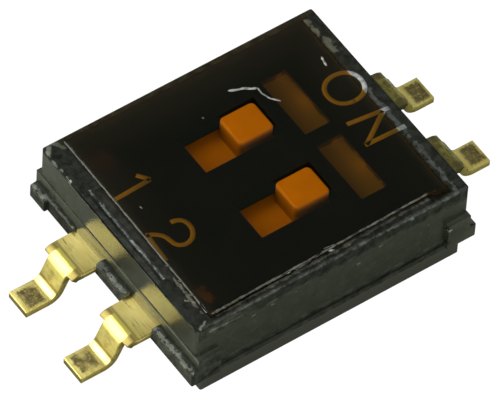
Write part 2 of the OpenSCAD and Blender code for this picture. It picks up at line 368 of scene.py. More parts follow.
def gold_plate():
    """Thin gold plating on stamped strip: smooth flats, burnished bends, a stained panel on each foot."""
    material, n, shader, mm = new_material("gold_plate")
    x, y, z = n.split(mm)
    across = n.math("SUBTRACT", n.math("ABSOLUTE", x), HALF_PITCH)
    off_middle = n.math("ABSOLUTE", across)
    rear = n.math("GREATER_THAN", y, 0.0)
    reach = n.math("ABSOLUTE", y)
    along = n.math("SUBTRACT", reach, n.times(rear, REAR_OUT))
    above_leg = n.span(z, 0.3, 0.36)
    fine = n.noise(mm, 26.0, detail=4.0, rough=0.65)
    broad = n.noise(mm, 5.0, detail=3.0, rough=0.6, warp=0.6)
    patchy = n.noise(mm, 11.0, detail=3.0, rough=0.6, warp=0.8)
    calm = n.noise(mm, 6.0, detail=1.0, rough=0.4)
    shade = n.blend(n.span(broad, 0.3, 0.7), GOLD["dark"], GOLD["light"])
    # drawing lines across the strip, and a few dark ones near the wall
    drawn = n.noise(n.vector("MULTIPLY", mm, (3.0, 34.0, 20.0)), 1.0, detail=3.0, rough=0.6)
    shade = n.blend(n.span(drawn, 0.5, 0.3, 0.0, 0.5), shade, GOLD["drawn"])
    nicks = n.times(n.span(drawn, 0.40, 0.32), n.between(along, *NICKED, 0.03), n.span(patchy, 0.5, 0.6))
    shade = n.blend(n.times(nicks, 0.8), shade, GOLD["nick"])
    # painted shade on the shoulders beside the bend, and a painted dark reflection where the bend starts
    shoulders = n.times(n.span(off_middle, 0.17, 0.22), n.span(along, 2.44, 2.54), above_leg)
    painted_shade = n.times(n.between(along, *BEND_START, 0.02), n.span(z, 0.45, 0.48))
    shade = n.blend(n.math("MAXIMUM", n.times(shoulders, 0.95), n.times(painted_shade, 0.8)), shade, GOLD["painted_shade"])
    # the leg, with a line above its heel and a streak down its middle
    leg = n.times(n.between(along, *LEG, 0.02), n.span(z, 0.16, 0.2))
    shade = n.blend(n.times(leg, n.span(broad, 0.4, 0.6), 0.5), shade, GOLD["leg"])
    heel_line = n.times(n.between(along, *HEEL_LINE, 0.012), n.span(z, 0.12, 0.16))
    streak = n.times(n.between(across, -0.04, 0.06, 0.05), n.between(along, *STREAKED, 0.02),
                     n.span(patchy, 0.35, 0.6))
    shade = n.blend(n.math("MAXIMUM", n.times(heel_line, 0.75), n.times(streak, 0.5)), shade, GOLD["heel"])
    # dirt where the terminal leaves the wall
    root = n.times(n.between(reach, *ROOT, 0.02), n.span(patchy, 0.5, 0.6))
    shade = n.blend(n.times(root, 0.9), shade, GOLD["dirt"])
    # stained panel on top of the foot: its borders waver, and a few light spots are left in it
    side_by = n.math("ADD", across, n.sway(fine, 0.09))
    out_by = n.math("ADD", reach, n.sway(patchy, 0.08))
    foot_top = n.times(n.between(side_by, -0.172, 0.15, 0.025), n.span(z, 0.08, 0.1))
    front_panel = n.times(n.between(out_by, *FRONT_STAIN, 0.025), n.math("SUBTRACT", 1.0, rear),
                          n.span(calm, 0.42, 0.66, 1.0, 0.45))
    rear_panel = n.times(n.between(out_by, *REAR_STAIN, 0.03), rear)
    stain = n.times(foot_top, n.math("MAXIMUM", front_panel, rear_panel), n.span(fine, 0.5, 0.72, 1.0, 0.55))
    stain_tone = n.blend(n.span(patchy, 0.4, 0.6), GOLD["stain"], GOLD["light_stain"])
    shade = n.blend(n.times(stain, 0.93), shade, stain_tone)
    tip = n.times(n.span(reach, 3.262, 3.275), n.span(z, 0.09, 0.075))
    shade = n.blend(n.times(tip, 0.7), shade, GOLD["tip"])
    # the bend is burnished, and the rear terminals are duller on top
    bend = n.times(n.between(along, *BENT, 0.02), n.span(off_middle, 0.21, 0.17))
    shade = n.blend(n.times(bend, n.span(z, 0.40, 0.45)), shade, GOLD["burnished"])
    shade = n.blend(n.times(rear, above_leg, n.span(patchy, 0.3, 0.7, 0.95, 0.7)), shade, GOLD["rear"])
    n.link(shade, shader.inputs["Base Color"])
    shader.inputs["Metallic"].default_value = 1.0
    rough = n.span(bend, 0.0, 1.0, 0.40, 0.30)
    rough = n.math("ADD", rough, n.math("ADD", n.times(stain, 0.15), n.sway(fine, 0.08)))
    n.link(rough, shader.inputs["Roughness"])
    bump(n, shader, n.math("ADD", n.times(fine, 0.3), broad), 0.25, 0.005)
    return material


def white_slider():
    """White moulded plastic of the sliders: full white on top of the knobs, with painted shade greying the
    knob sides and the plate.
    """
    material, n, shader, mm = new_material("slider_white")
    skin = n.group(SKIN, Place=mm, Fine=24.0, Broad=5.0)
    height = n.split(mm)[2]
    # painted shade: the knob sides and the plate are greyer than the knob tops
    knob_side, plate = (0.50, 0.50, 0.48), (0.60, 0.60, 0.57)
    shaded_low = n.blend(n.span(height, 1.05, 1.03), knob_side, plate)
    clean = n.blend(skin["Clouds"], (0.68, 0.68, 0.65), (0.76, 0.76, 0.73))
    n.link(n.blend(n.span(height, 1.27, 1.33), shaded_low, clean), shader.inputs["Base Color"])
    n.link(n.span(skin["Height"], 0.2, 0.8, 0.4, 0.55), shader.inputs["Roughness"])
    bump(n, shader, skin["Height"], 0.4, 0.004)
    return material


def amber_film():
    """Clear amber film: it tints what lies under it, with a faint haze and a soft shine."""
    material, n, shader, mm = new_material("amber_film")
    haze = n.noise(mm, 3.0, detail=4.0, rough=0.6, warp=0.5)
    fine = n.noise(mm, 30.0, detail=3.0, rough=0.6)
    shade = n.blend(haze, (0.035, 0.07, 0.07), (0.065, 0.10, 0.10))
    # milky towards the left, front and rear edges, and less so to the right
    x, y, _ = n.split(mm)
    inward = n.join("MINIMUM", n.math("SUBTRACT", x, FILM_LEFT), n.math("SUBTRACT", y, FILM_FRONT),
                    n.math("SUBTRACT", FILM_REAR, y))
    inward = n.math("ADD", inward, n.sway(haze, 0.25))
    tail = n.times(n.span(inward, 0.0, 0.75, 0.48, 0.0), n.span(x, 0.6, -1.2, 0.35, 1.0))
    milky = n.math("ADD", n.span(inward, 0.0, 0.14, 0.42, 0.0), tail)
    shade = n.blend(milky, shade, (0.20, 0.225, 0.19))
    # one faint brown spot
    spot = n.span(n.vector("DISTANCE", mm, (-1.144, -1.634, FILM_TOP), out="Value"), 0.24, 0.13)
    shade = n.blend(n.times(spot, 0.2), shade, (0.34, 0.17, 0.12))
    # clear over the open slots, in front of the knob and over the plate, where nothing is glued to it
    for pole in POLES.values():
        for beside, y_mid, half_x, half_y in ((-0.045, 0.335, 0.26, 0.28), (0.106, -0.285, 0.246, 0.30)):
            over_slot = n.group(PATCH, Place=mm, Centre=(pole + beside, y_mid, FILM_TOP),
                                Half=(half_x, half_y, 0.05), Soft=0.02)[0]
            shade = n.blend(over_slot, shade, CLEAR)
    n.link(shade, shader.inputs["Base Color"])
    n.link(n.span(fine, 0.3, 0.7, 0.12, 0.22), shader.inputs["Roughness"])
    bump(n, shader, haze, 0.2, 0.01)
    tint = n.add("ShaderNodeBsdfTransparent")
    tint.inputs["Color"].default_value = AMBER
    surface = material.node_tree.get_output_node("ALL").inputs["Surface"]
    n.link(n.mix_shaders(HAZE_SHARE, tint, shader), surface)
    return material


def speckled(name, dark, light, rough, scale=14.0, marks=()):
    """A matt coating whose tone varies in small patches."""
    material, n, shader, mm = new_material(name)
    spots = n.noise(mm, scale, detail=3.0, rough=0.6)
    shade = marked(n, mm, n.blend(n.span(spots, 0.35, 0.62), dark, light), marks)
    n.link(shade, shader.inputs["Base Color"])
    n.link(n.span(spots, 0.2, 0.8, rough, rough + 0.15), shader.inputs["Roughness"])
    bump(n, shader, spots, 0.3, 0.004)
    return material


# ---------------------------------------------------------------- marks and finishes

# each patch is its centre, half its size, the softness of its borders, its tone and its strength;
# each line its two ends, width, tone and strength, then how finely it breaks up and how gappy it is
# the sunk windows' floors: a dim pale tone, standing for a white plate seen in shade, so painted shade
WINDOW_IN_SHADE = (0.09, 0.14, 0.13)
PALE = (0.30, 0.31, 0.25)
WALL_TONE = (0.056, 0.059, 0.049)
PAINTED_SHADE_TONE = (0.032, 0.034, 0.029)
SEAM_AND_SHADOW_TONE = (0.016, 0.017, 0.014)
EDGE_TONE = (0.045, 0.048, 0.042)
FOOT_TONE = (0.066, 0.069, 0.056)
SCUFF_TONE = (0.12, 0.13, 0.11)
WORN_TONE = (0.15, 0.16, 0.13)

# the cover: its two sunk windows, their floors in painted shade, and nicks in the right-hand side
cover_marks = [
    patch((pole + 0.04, 1.06, TOP - 0.06), (0.5, 0.19, 0.03), 0.03, WINDOW_IN_SHADE, 1.0)
    for pole in POLES.values()
] + [
    patch((SIDE, y, z), (0.03, 0.028, 0.014), 0.02, PALE, 0.35)
    for y, z in ((-0.97, 1.10), (-1.27, 1.08), (-0.61, 1.10), (0.742, 1.11), (0.397, 0.983))
]
# the dull skin of the cover's top and of the strips beside its edges and the base's
dull_marks = []
for side in (-1, 1):
    dull_marks += [
        # side walls: as light as the shiny skin below, with painted shade right under the top edge and a
        # painted shadow of a small step low down
        patch((side * (SIDE + 0.01), 0.0, 0.75), (0.014, 2.3, 0.585), 0.01, WALL_TONE, 1.0),
        patch((side * SIDE, 0.45, 1.265), (0.03, 1.80, 0.07), 0.06, PAINTED_SHADE_TONE, 1.0),
        patch((side * SIDE, 0.0, 0.38), (0.03, 2.2, 0.04), 0.08, PAINTED_SHADE_TONE, 0.75),
        # front ears
        patch((side * 1.868, -1.99, 0.4), (0.014, 0.22, 0.6), 0.01, (0.050, 0.053, 0.044), 1.0),
        # end walls: the strip above the seam and the one under the top edge
        patch((0.0, side * 2.17, 0.84), (1.85, 0.012, 0.04), 0.01, (0.065, 0.067, 0.055), 1.0),
        patch((0.0, side * 2.17, 1.31), (1.85, 0.012, 0.035), 0.01, (0.055, 0.057, 0.046), 1.0),
        # ledges: light along the outer half of the top, dark in the root
        patch((0.0, side * 2.27, 0.5), (2.0, 0.105, 0.17), 0.02, (0.036, 0.038, 0.031), 0.9),
        patch((0.0, side * 2.278, 0.45), (2.0, 0.012, 0.13), 0.01, FOOT_TONE, 1.0),
        line((-1.9, side * 2.236, 0.585), (1.9, side * 2.236, 0.585), 0.075, (0.17, 0.18, 0.15),
             0.9, 15.0, 0.9),
    ]
dull_marks += [
    # the index notch in the front ledge
    line((-1.6, -2.212, 0.58), (-1.03, -2.212, 0.58), 0.06, (0.15, 0.16, 0.135), 0.8, 12.0, 0.6),
    # a painted shadow of the wall slants down across the near ear, along the seam
    line((1.865, -2.15, 0.36), (1.865, -1.78, 0.50), 0.07, SEAM_AND_SHADOW_TONE, 0.55, 5.0, 0.4),
    # seam low on the right-hand side, dark in broken stretches: a dark joint with the painted shadow of a
    # small step along it
    line((SIDE, -1.80, 0.49), (SIDE, -1.2, 0.41), 0.06, SEAM_AND_SHADOW_TONE, 0.4, 5.0),
    line((SIDE, -1.15, 0.385), (SIDE, 0.42, 0.39), 0.06, SEAM_AND_SHADOW_TONE, 0.25, 5.0),
    line((SIDE, 0.66, 0.33), (SIDE, 0.92, 0.43), 0.06, SEAM_AND_SHADOW_TONE, 0.7, 5.0, 0.4),
    line((SIDE, 1.13, 0.40), (SIDE, 1.38, 0.375), 0.06, SEAM_AND_SHADOW_TONE, 0.7, 5.0, 0.4),
    # two scuffs high on that side
    line((SIDE, -1.95, 1.25), (SIDE, -1.45, 1.21), 0.04, (0.14, 0.15, 0.12), 0.8, 7.0, 0.6),
    line((SIDE, -1.05, 1.16), (SIDE, -0.90, 1.17), 0.05, SCUFF_TONE, 0.8, 7.0, 0.6),
    # sunk strip: a dark groove with a bright line along it
    patch((0.0, -1.945, TOP), (0.87, 0.04, 0.05), 0.02, (0.030, 0.031, 0.026), 0.8),
    patch((0.0, -2.125, TOP - 0.02), (0.87, 0.045, 0.03), 0.02, (0.040, 0.042, 0.036), 0.9),
    line((-0.86, -2.062, TOP - 0.022), (0.84, -2.062, TOP - 0.022), 0.03, NEAR_BLACK, 0.4, 5.0, 0.6),
    line((-0.863, -2.022, TOP - 0.012), (0.826, -2.022, TOP - 0.012), 0.036, (0.21, 0.23, 0.22),
         0.95, 12.0, 0.3),
    # left margin, and the far front corner worn round
    patch((-1.73, 0.1, TOP), (0.06, 2.0, 0.06), 0.03, (0.026, 0.022, 0.012), 0.9),
    line((-1.77, -2.02, TOP), (-1.66, -2.13, TOP - 0.01), 0.06, WORN_TONE, 0.7),
    line((-1.69, -2.13, TOP - 0.01), (-1.445, FRONT, TOP - 0.01), 0.04, WORN_TONE, 0.8),
    line((-1.445, FRONT, TOP - 0.01), (-1.313, -2.15, TOP), 0.04, WORN_TONE, 0.7),
    line((-1.313, -2.15, TOP), (-1.135, FRONT, TOP - 0.01), 0.04, WORN_TONE, 0.8),
    line((-1.14, FRONT, TOP - 0.06), (-0.3, FRONT, TOP - 0.04), 0.035, (0.12, 0.13, 0.10), 0.7),
    line((-0.3, FRONT, TOP - 0.035), (1.75, FRONT, TOP - 0.035), 0.035, (0.095, 0.10, 0.075), 0.7, 9.0, 0.7),
    patch((-1.13, -2.16, TOP - 0.01), (0.022, 0.03, 0.022), 0.01, (0.26, 0.27, 0.22), 1.0),
    line((-1.75, -1.98, TOP), (-1.62, -1.90, TOP), 0.05, (0.08, 0.085, 0.06), 0.8),
    # near corner: a pale nick and scuffs beside the end of the film
    line((1.76, -2.095, TOP), (1.695, -1.97, TOP), 0.05, (0.16, 0.17, 0.15), 0.9, 8.0, 0.7),
    line((1.28, -2.00, TOP), (1.37, -1.92, TOP), 0.05, (0.22, 0.22, 0.17), 0.9, 10.0, 0.7),
    line((0.9, -1.925, TOP), (1.58, -1.935, TOP), 0.05, (0.13, 0.13, 0.10), 0.8, 11.0),
    # long right-hand edge: pale, and dark between it and the film
    patch((1.715, 0.1, TOP), (0.028, 1.95, 0.06), 0.03, SEAM_AND_SHADOW_TONE, 0.9),
    line((1.774, -2.05, TOP - 0.004), (1.774, 2.1, TOP - 0.004), 0.05, EDGE_TONE, 1.0, 5.0, 0.45),
    line((1.782, -1.9, TOP - 0.008), (1.782, 2.0, TOP - 0.008), 0.03, SCUFF_TONE, 0.7, 9.0),
    patch((SIDE, 1.236, TOP - 0.02), (0.02, 0.03, 0.03), 0.01, (0.18, 0.19, 0.16), 0.9),
    line((1.692, -1.80, TOP), (1.688, 0.3, TOP), 0.05, (0.085, 0.09, 0.075), 0.8, 12.0, 0.8),
    line((1.672, 0.3, TOP), (1.655, 1.6, TOP), 0.045, (0.07, 0.074, 0.062), 0.8, 12.0, 0.8),
    # rear margin: light where the film stops short
    line((-1.62, 1.96, TOP), (-1.0, 2.02, TOP), 0.10, (0.10, 0.105, 0.08), 0.8, 8.0),
    line((-0.25, 1.98, TOP), (1.7, 1.98, TOP), 0.08, (0.075, 0.083, 0.078), 0.8, 12.0),
    patch((1.66, 1.76, TOP), (0.06, 0.16, 0.05), 0.03, NEAR_BLACK, 0.9),
]
base_marks = [
    # the foot of the right-hand side is lighter than the rest
    patch((SIDE, 0.0, 0.13), (0.03, 2.2, 0.14), 0.03, FOOT_TONE, 0.9),
    # darker low on the front wall above the ledges, and a light line along the edge under the seam
    patch((0.0, FRONT, 0.63), (1.9, 0.02, 0.06), 0.06, NEAR_BLACK, 0.5),
    line((-0.3, FRONT, 0.79), (1.86, FRONT, 0.785), 0.045, (0.10, 0.105, 0.085), 0.9, 6.0, 0.5),
    line((-1.7, FRONT, 0.79), (-0.3, FRONT, 0.79), 0.035, (0.07, 0.075, 0.06), 0.6, 6.0),
    # right-hand rear ear: painted shade in two notches in its root, and a light dot beside the upper one
    patch((1.846, 1.81, 0.743), (0.05, 0.04, 0.03), 0.015, NEAR_BLACK, 1.0),
    patch((1.819, 1.81, 0.469), (0.05, 0.04, 0.03), 0.015, NEAR_BLACK, 1.0),
    patch((1.86, 1.837, 0.727), (0.03, 0.025, 0.02), 0.01, PALE, 0.8),
]
# tones seen through the film near its corners
under_marks = [
    patch((1.33, -1.74, TOP), (0.11, 0.07, 0.05), 0.09, (0.062, 0.066, 0.042), 0.8),
    line((1.63, -1.86, TOP), (1.65, -1.45, TOP), 0.05, (0.06, 0.08, 0.065), 0.9, 6.0),
    line((1.59, 1.60, TOP), (1.62, 1.86, TOP), 0.06, (0.06, 0.09, 0.08), 0.9, 6.0),
    line((-1.211, -1.56, TOP), (-1.211, -1.53, TOP), 0.15, (0.010, 0.010, 0.008), 0.8, 3.0),
]
# the ink is darker where the film covers it
ink_marks = [patch((0.0, 0.0, TOP), (1.9, 1.915, 0.1), 0.01, (0.22, 0.36, 0.30), 1.0)]
# the pale line along the film's front edge is lighter than the other edges
edge_marks = [patch((0.0, -1.885, FILM_TOP), (1.75, 0.035, 0.05), 0.01, (0.15, 0.15, 0.115), 0.7)]

cover_black = black_plastic(
    "cover_black", colour=(0.028, 0.031, 0.022), pale=(0.26, 0.27, 0.22), rough=0.16, ior=1.47,
    box=cover_box, rim_width=0.022, rim_share=0.45, grain=30.0, depth=0.012, marks=cover_marks)
base_black = black_plastic(
    "base_black", colour=(0.036, 0.040, 0.026), pale=(0.24, 0.25, 0.20), rough=0.12, ior=1.56,
    box=base_box, rim_width=0.03, rim_share=0.5, grain=26.0, depth=0.011, marks=base_marks)
glued = dull_black("cover_glued", (0.002, 0.002, 0.002), uneven=0.5, broad=3.0, marks=under_marks)
dulled = dull_black("black_dulled", (0.022, 0.0235, 0.0195), uneven=0.45, broad=8.0, marks=dull_marks)
gold = gold_plate()
white = white_slider()
film = amber_film()
print_ink = speckled("pale_ink", (0.22, 0.24, 0.25), (0.44, 0.48, 0.49), rough=0.6, marks=ink_marks)
pale_edge = speckled("pale_fold", (0.012, 0.012, 0.01), (0.12, 0.13, 0.105), rough=0.5, scale=12.0,
                     marks=edge_marks)
pale_crease = speckled("pale_crease", (0.16, 0.16, 0.14), (0.44, 0.44, 0.40), rough=0.4, scale=16.0)


# ---------------------------------------------------------------- modelling helpers

# points nearer than this are one, and faces turned less than this are one
WELD, FLAT_ANGLE = 0.0005, math.radians(1)
# rounding leaves no edge shorter than this
SHORTEST = 0.0003
# how closely the points of a ragged line follow each other
PACE = 0.03


def finish_piece(bm, name, material, body, node=None):
    """Makes the mesh an object in metres, gives it its material and lets it ride on its body."""
    bmesh.ops.scale(bm, vec=(MM, MM, MM), verts=bm.verts)
    mesh = bpy.data.meshes.new(name)
    for face in bm.faces:
        face.smooth = True
    bm.to_mesh(mesh)
    bm.free()
    piece = bpy.data.objects.new(name, mesh)
    bpy.context.scene.collection.objects.link(piece)
    mesh.materials.append(material)
    even = piece.modifiers.new("even_shading", "WEIGHTED_NORMAL")
    even.weight = 100
    even.keep_sharp = True
    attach(piece, body)
    if node:
        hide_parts(node)
    return piece


def make_whole(bm):
    """Welds double points and makes each flat face one."""
    bmesh.ops.remove_doubles(bm, verts=bm.verts, dist=WELD)
    bmesh.ops.dissolve_limit(bm, angle_limit=FLAT_ANGLE, verts=bm.verts, edges=bm.edges)


def moulded_copy(node):
    """A clean copy of a CAD node, in millimetres."""
    bm = bmesh.new()
    bm.from_mesh(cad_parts[node].data)
    bmesh.ops.scale(bm, vec=(TO_MM, TO_MM, TO_MM), verts=bm.verts)
    make_whole(bm)
    return bm


def round_edges(bm, width, chosen, segments=3, corner=25):
    """Rounds the edges sharper than corner, in degrees, whose middle point chosen accepts."""
    edges = [e for e in bm.edges if len(e.link_faces) == 2 and e.calc_face_angle(0) > math.radians(corner)
             and chosen((e.verts[0].co + e.verts[1].co) / 2)]
    bmesh.ops.bevel(bm, geom=edges, offset=width, offset_type="OFFSET", segments=segments,
                    profile=0.5, affect="EDGES", clamp_overlap=True, material=-1)
    bmesh.ops.dissolve_degenerate(bm, dist=SHORTEST, edges=bm.edges)


def cut(bm, chosen, place, way):
    """Splits the faces that chosen accepts along a plane through place, square to way."""
    faces = [f for f in bm.faces if chosen(f)]
    around = list({e for f in faces for e in f.edges}) + list({v for f in faces for v in f.verts})
    bmesh.ops.bisect_plane(bm, geom=faces + around, plane_co=place, plane_no=way)


def thicken(bm, rise):
    """Raises a flat sheet into a closed slab as high as rise."""
    top = bmesh.ops.extrude_face_region(bm, geom=bm.faces[:])
    raised = [v for v in top["geom"] if isinstance(v, bmesh.types.BMVert)]
    bmesh.ops.translate(bm, vec=UP * rise, verts=raised)
    bmesh.ops.recalc_face_normals(bm, faces=bm.faces)


def ribbon(name, path, widths, rise, material):
    """A thin level strip along the path, as wide as the widths say."""
    rows = len(path) - 1
    bm = bmesh.new()
    bmesh.ops.create_grid(bm, x_segments=1, y_segments=rows, size=0.5)
    for vert in bm.verts:
        i = round((vert.co.y + 0.5) * rows)
        ahead = path[min(i + 1, rows)] - path[max(i - 1, 0)]
        vert.co = path[i] + UP.cross(ahead).normalized() * widths[i] * vert.co.x
    thicken(bm, rise)
    return finish_piece(bm, name, material, "housing")


def ragged(points, width, seed, stray):
    """Path and widths of a broken line on the film, wavering by stray times its width."""
    path = []
    corners = [Vector((x, y, FILM_TOP)) for x, y in points]
    for a, b in zip(corners, corners[1:]):
        count = max(2, int((b - a).length / PACE))
        path += [a.lerp(b, i / count) for i in range(count)]
    path.append(corners[-1])
    widths = [width * (0.5 + 0.7 * abs(noise.noise(p * 14 + Vector((0, 0, seed))))) for p in path]
    widths[0] = widths[-1] = width * 0.2
    strays = [Vector((noise.noise(p * 9 + Vector((seed, 0, 0))),
                      noise.noise(p * 9 + Vector((0, seed, 0))), 0)) for p in path]
    return [p + way * width * stray for p, way in zip(path, strays)], widths


def follow(table, place):
    """Value at a place between the rows of a table of (place, value)."""
    for (a, low), (b, high) in zip(table, table[1:]):
        if place <= b:
            return low + (high - low) * max(0.0, (place - a) / (b - a))
    return table[-1][1]


# ---------------------------------------------------------------- housing

# how round the edges are: the plain ones, the upright corners of cover and base, the terminals'
# edges, and the knobs' upright corners and top edges
PLAIN_ROUND, COVER_CORNER, BASE_CORNER, STRIP_ROUND = 0.012, 0.05, 0.035, 0.02
KNOB_CORNER, KNOB_TOP_ROUND = 0.075, 0.035
# the walls are shiny between these heights, and the base's side walls below the last one
SIDE_LOW, SIDE_HIGH, END_LOW, END_HIGH, FOOT_HIGH = 0.50, 1.14, 0.852, 1.305, 0.27
# a face looks straight along an axis when its normal is above this
STRAIGHT = 0.9
# the cover's finishes, in the order of its material slots
GLUED, DULLED = 1, 2


def on_top(face):
    """Whether a face is part of the cover's flat top."""
    return face.normal.z > STRAIGHT and face.calc_center_median().z > TOP - 0.01


def on_side(face):
    """Whether a face lies in a long side wall or further out."""
    return abs(face.normal.x) > STRAIGHT and abs(face.calc_center_median().x) > SIDE - 0.005


def on_end(face):
    """Whether a face lies in an end wall of the cover."""
    return abs(face.normal.y) > STRAIGHT and abs(face.calc_center_median().y) > 2.15


def on_base_side(face):
    """Whether a face lies in a long side wall of the base, further in than its ears."""
    return on_side(face) and abs(face.calc_center_median().x) < SIDE + 0.005


# the upright corners are rounded first, then the outer edges and those in the top
bm = moulded_copy("cover")
round_edges(bm, COVER_CORNER, lambda p: 0.9 < p.z < 1.3 and abs(p.x) > 1.75 and abs(p.y) > 2.1, segments=5)
round_edges(bm, PLAIN_ROUND, lambda p: p.z > 0.8 and (abs(p.x) > 1.7 or abs(p.y) > 2.1) or p.z > 1.34)
# the part of the top that the film is glued to is split off for its own finish: each border is a
# point and the way out, for the left, front, rear and slanting right-hand edge
film_across = Vector((math.cos(FILM_TURN), math.sin(FILM_TURN), 0))
film_along = Vector((-film_across.y, film_across.x, 0))
borders = [(film_middle - film_across * (FILM_W / 2 + 0.02), -film_across),
           (film_middle - film_along * (FILM_L / 2 - 0.004), -film_along),
           (film_middle + film_along * (FILM_L / 2 + 0.015), film_along),
           (Vector((1.644, 0.0, 0.0)), Vector((1.0, 0.0265, 0.0)).normalized())]
for place, way in borders:
    cut(bm, on_top, place, way)
for height in (SIDE_LOW, SIDE_HIGH):
    cut(bm, on_side, UP * height, UP)
for height in (END_LOW, END_HIGH):
    cut(bm, on_end, UP * height, UP)
for face in bm.faces:
    middle = face.calc_center_median()
    in_slot = abs(face.normal.z) < 0.5 and abs(middle.y - SLOT_Y) < SLOT_HALF[1] + 0.005 and any(
        abs(middle.x - pole) < SLOT_HALF[0] + 0.005 for pole in POLES.values())
    if in_slot or on_top(face) and all((middle - place).dot(way) < 0 for place, way in borders):
        face.material_index = GLUED
    elif middle.z > 1.335 and face.normal.z > 0.2:
        face.material_index = DULLED
    elif on_side(face) and not SIDE_LOW < middle.z < SIDE_HIGH:
        face.material_index = DULLED
    elif on_end(face) and not END_LOW < middle.z < END_HIGH:
        face.material_index = DULLED
cover_shell = finish_piece(bm, "cover_shell", cover_black, "housing", "cover")
cover_shell.data.materials.append(glued)
cover_shell.data.materials.append(dulled)

# the base is shiny, and dulled on its side walls, its front ears and its ledges
bm = moulded_copy("base")
round_edges(bm, BASE_CORNER, lambda p: abs(p.x) > 1.85 and abs(p.y) > 2.1 and 0.4 < p.z < 0.7, segments=4)
round_edges(bm, PLAIN_ROUND, lambda p: abs(p.x) > 1.7 or abs(p.y) > 2.03)
cut(bm, on_base_side, UP * FOOT_HIGH, UP)
for face in bm.faces:
    middle = face.calc_center_median()
    wall = on_base_side(face) and middle.z > FOOT_HIGH
    front_ear = on_side(face) and abs(middle.x) > 1.85 and middle.y < 0
    face.material_index = int(wall or front_ear or abs(middle.y) > 2.17)
base_shell = finish_piece(bm, "base_shell", base_black, "housing", "base")
base_shell.data.materials.append(dulled)

# ---------------------------------------------------------------- film

# how far the right-hand edge strays from its straight line, from front to rear
TRIM = [(-1.9, 0.05), (-1.6, 0.035), (-0.6, -0.008), (0.2, -0.035), (1.62, -0.078), (1.70, 0.0), (1.9, 0.012)]
# how much the edges wave, and how much they are jagged on the long sides and at the ends
WAVE, SIDE_JAG, END_JAG = 0.006, 0.008, 0.006
EDGE_BAND = 0.001
# how much pale edges and pale folds waver, as a share of their width, and how far they rise
EDGE_STRAY, FOLD_STRAY, FOLD_RISE = 0.12, 0.3, 0.003

under = film_box[0].z + FILM_LIFT
bm = bmesh.new()
bmesh.ops.create_grid(bm, x_segments=60, y_segments=90, size=0.5)
bmesh.ops.scale(bm, vec=(FILM_W, FILM_L, 1), verts=bm.verts)
for vert in bm.verts:
    on_long_edge = abs(vert.co.x) > FILM_W / 2 - EDGE_BAND
    on_end_edge = abs(vert.co.y) > FILM_L / 2 - EDGE_BAND
    wave = WAVE * noise.noise(Vector((vert.co.x * 3.0, vert.co.y * 3.0, 0.3)))
    jag = noise.noise(Vector((vert.co.x * 11.0, vert.co.y * 11.0, 2.7)))
    if on_long_edge:
        vert.co.x += wave + SIDE_JAG * jag
    if on_long_edge and vert.co.x > 0:
        vert.co.x += follow(TRIM, vert.co.y)
    if on_end_edge:
        vert.co.y += wave + END_JAG * jag
thicken(bm, FILM_TOP - under)
bmesh.ops.rotate(bm, cent=(0, 0, 0), matrix=Matrix.Rotation(FILM_TURN, 3, "Z"), verts=bm.verts)
bmesh.ops.translate(bm, vec=(film_middle.x, film_middle.y, under), verts=bm.verts)
finish_piece(bm, "film_sheet", film, "housing", "seal_film")

# edges and folds of the film that have gone pale: name, width, seed and points
for name, width, seed, points in (
        ("edge_right", 0.05, 1.3,
         [(1.672, -1.86), (1.662, -1.4), (1.648, -0.45), (1.622, 0.8), (1.604, 1.62)]),
        ("edge_front", 0.036, 4.1, [(-1.69, -1.868), (-0.6, -1.870), (0.6, -1.880), (1.62, -1.892)]),
        ("lift_corner", 0.045, 7.7, [(1.44, -1.885), (1.62, -1.895)]),
        ("fold_long", 0.055, 2.2, [(-1.208, 0.403), (-1.128, 0.587), (-1.034, 0.761)]),
        ("fold_bent", 0.036, 5.9, [(-1.04, 0.757), (-0.93, 0.745), (-0.80, 0.80), (-0.692, 0.89)]),
        ("dash", 0.045, 3.4, [(-1.007, 1.756), (-0.841, 1.734)]),
        ("speck_left", 0.014, 0.7, [(-1.03, -0.138), (-1.0, -0.125)]),
        ("speck_front", 0.014, 6.3, [(-0.27, -1.65), (-0.22, -1.64)]),
        ("squeeze_1", 0.05, 8.2, [(1.665, -0.69), (1.665, -0.62)]),
        ("squeeze_2", 0.05, 9.1, [(1.67, -0.02), (1.69, 0.06)]),
        ("edge_scuff_1", 0.018, 1.9, [(0.70, -1.92), (0.78, -1.86)]),
        ("edge_scuff_2", 0.018, 2.9, [(0.98, -1.93), (1.06, -1.87)]),
        ("edge_scuff_3", 0.018, 3.9, [(1.25, -1.93), (1.33, -1.87)]),
        ("edge_curl_1", 0.022, 5.3, [(1.69, -0.55), (1.665, -0.34), (1.63, -0.10)]),
        ("edge_curl_2", 0.022, 6.6, [(1.60, -0.05), (1.62, 0.11), (1.66, 0.16)])):
    stray, pale = (EDGE_STRAY, pale_edge) if name.startswith("edge") else (FOLD_STRAY, pale_crease)
    path, widths = ragged(points, width, seed, stray)
    ribbon("film_" + name, path, widths, FOLD_RISE, pale)

# ---------------------------------------------------------------- print

# width of the inked strokes, how far they lie above the cover and how thick they are
STROKE, PRINT_LIFT, PRINT_RISE = 0.068, 0.002, 0.001


def oval(cx, cy, rx, ry, power, steps):
    """Points round an oval, squarer for a smaller power."""
    turns = [math.tau * i / steps for i in range(steps + 1)]
    return [(cx + rx * math.copysign(abs(math.cos(a)) ** power, math.cos(a)),
             cy + ry * math.copysign(abs(math.sin(a)) ** power, math.sin(a))) for a in turns]


